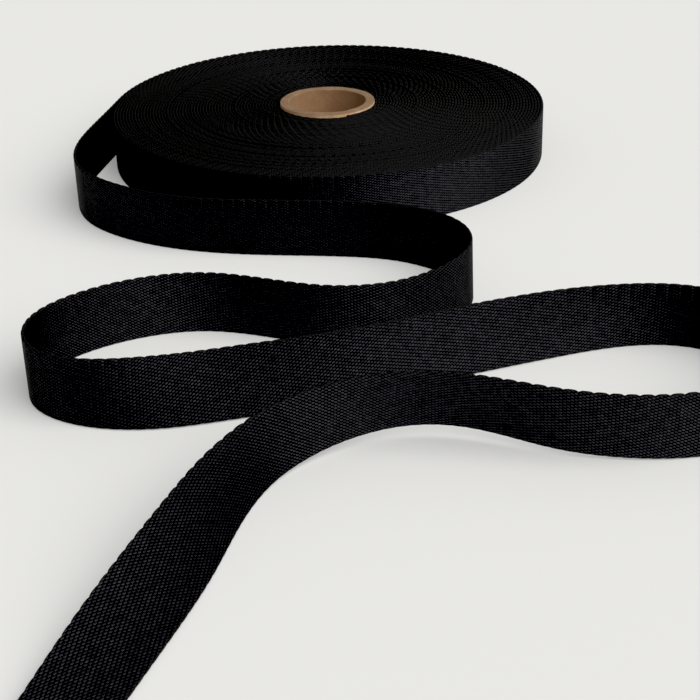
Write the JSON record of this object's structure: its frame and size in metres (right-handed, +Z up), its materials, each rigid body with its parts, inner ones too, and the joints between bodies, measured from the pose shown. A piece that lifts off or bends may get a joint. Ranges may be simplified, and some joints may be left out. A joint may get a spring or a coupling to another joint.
{
  "type": "spool of polyester webbing",
  "caption": "Flat roll of woven webbing on a cardboard core, its loose end standing on edge in wide bends and lying down at the cut end.",
  "frame": {"origin": "middle of the footprint, on the surface that the roll and its loose end rest on", "axes": "+Z up along the roll's axis, +Y from the cut end towards the roll, +X to the right as the cut end points at the viewer"},
  "size_m": [0.2748, 0.587, 0.0293],
  "materials": {
    "cardboard": "plain wound kraft board, matt",
    "webbing": "close black polyester weave with a soft sheen"
  },
  "bodies": {
    "root": {"core": "cardboard", "wound_roll": "webbing", "loose_end": "webbing"}
  },
  "joints": []
}
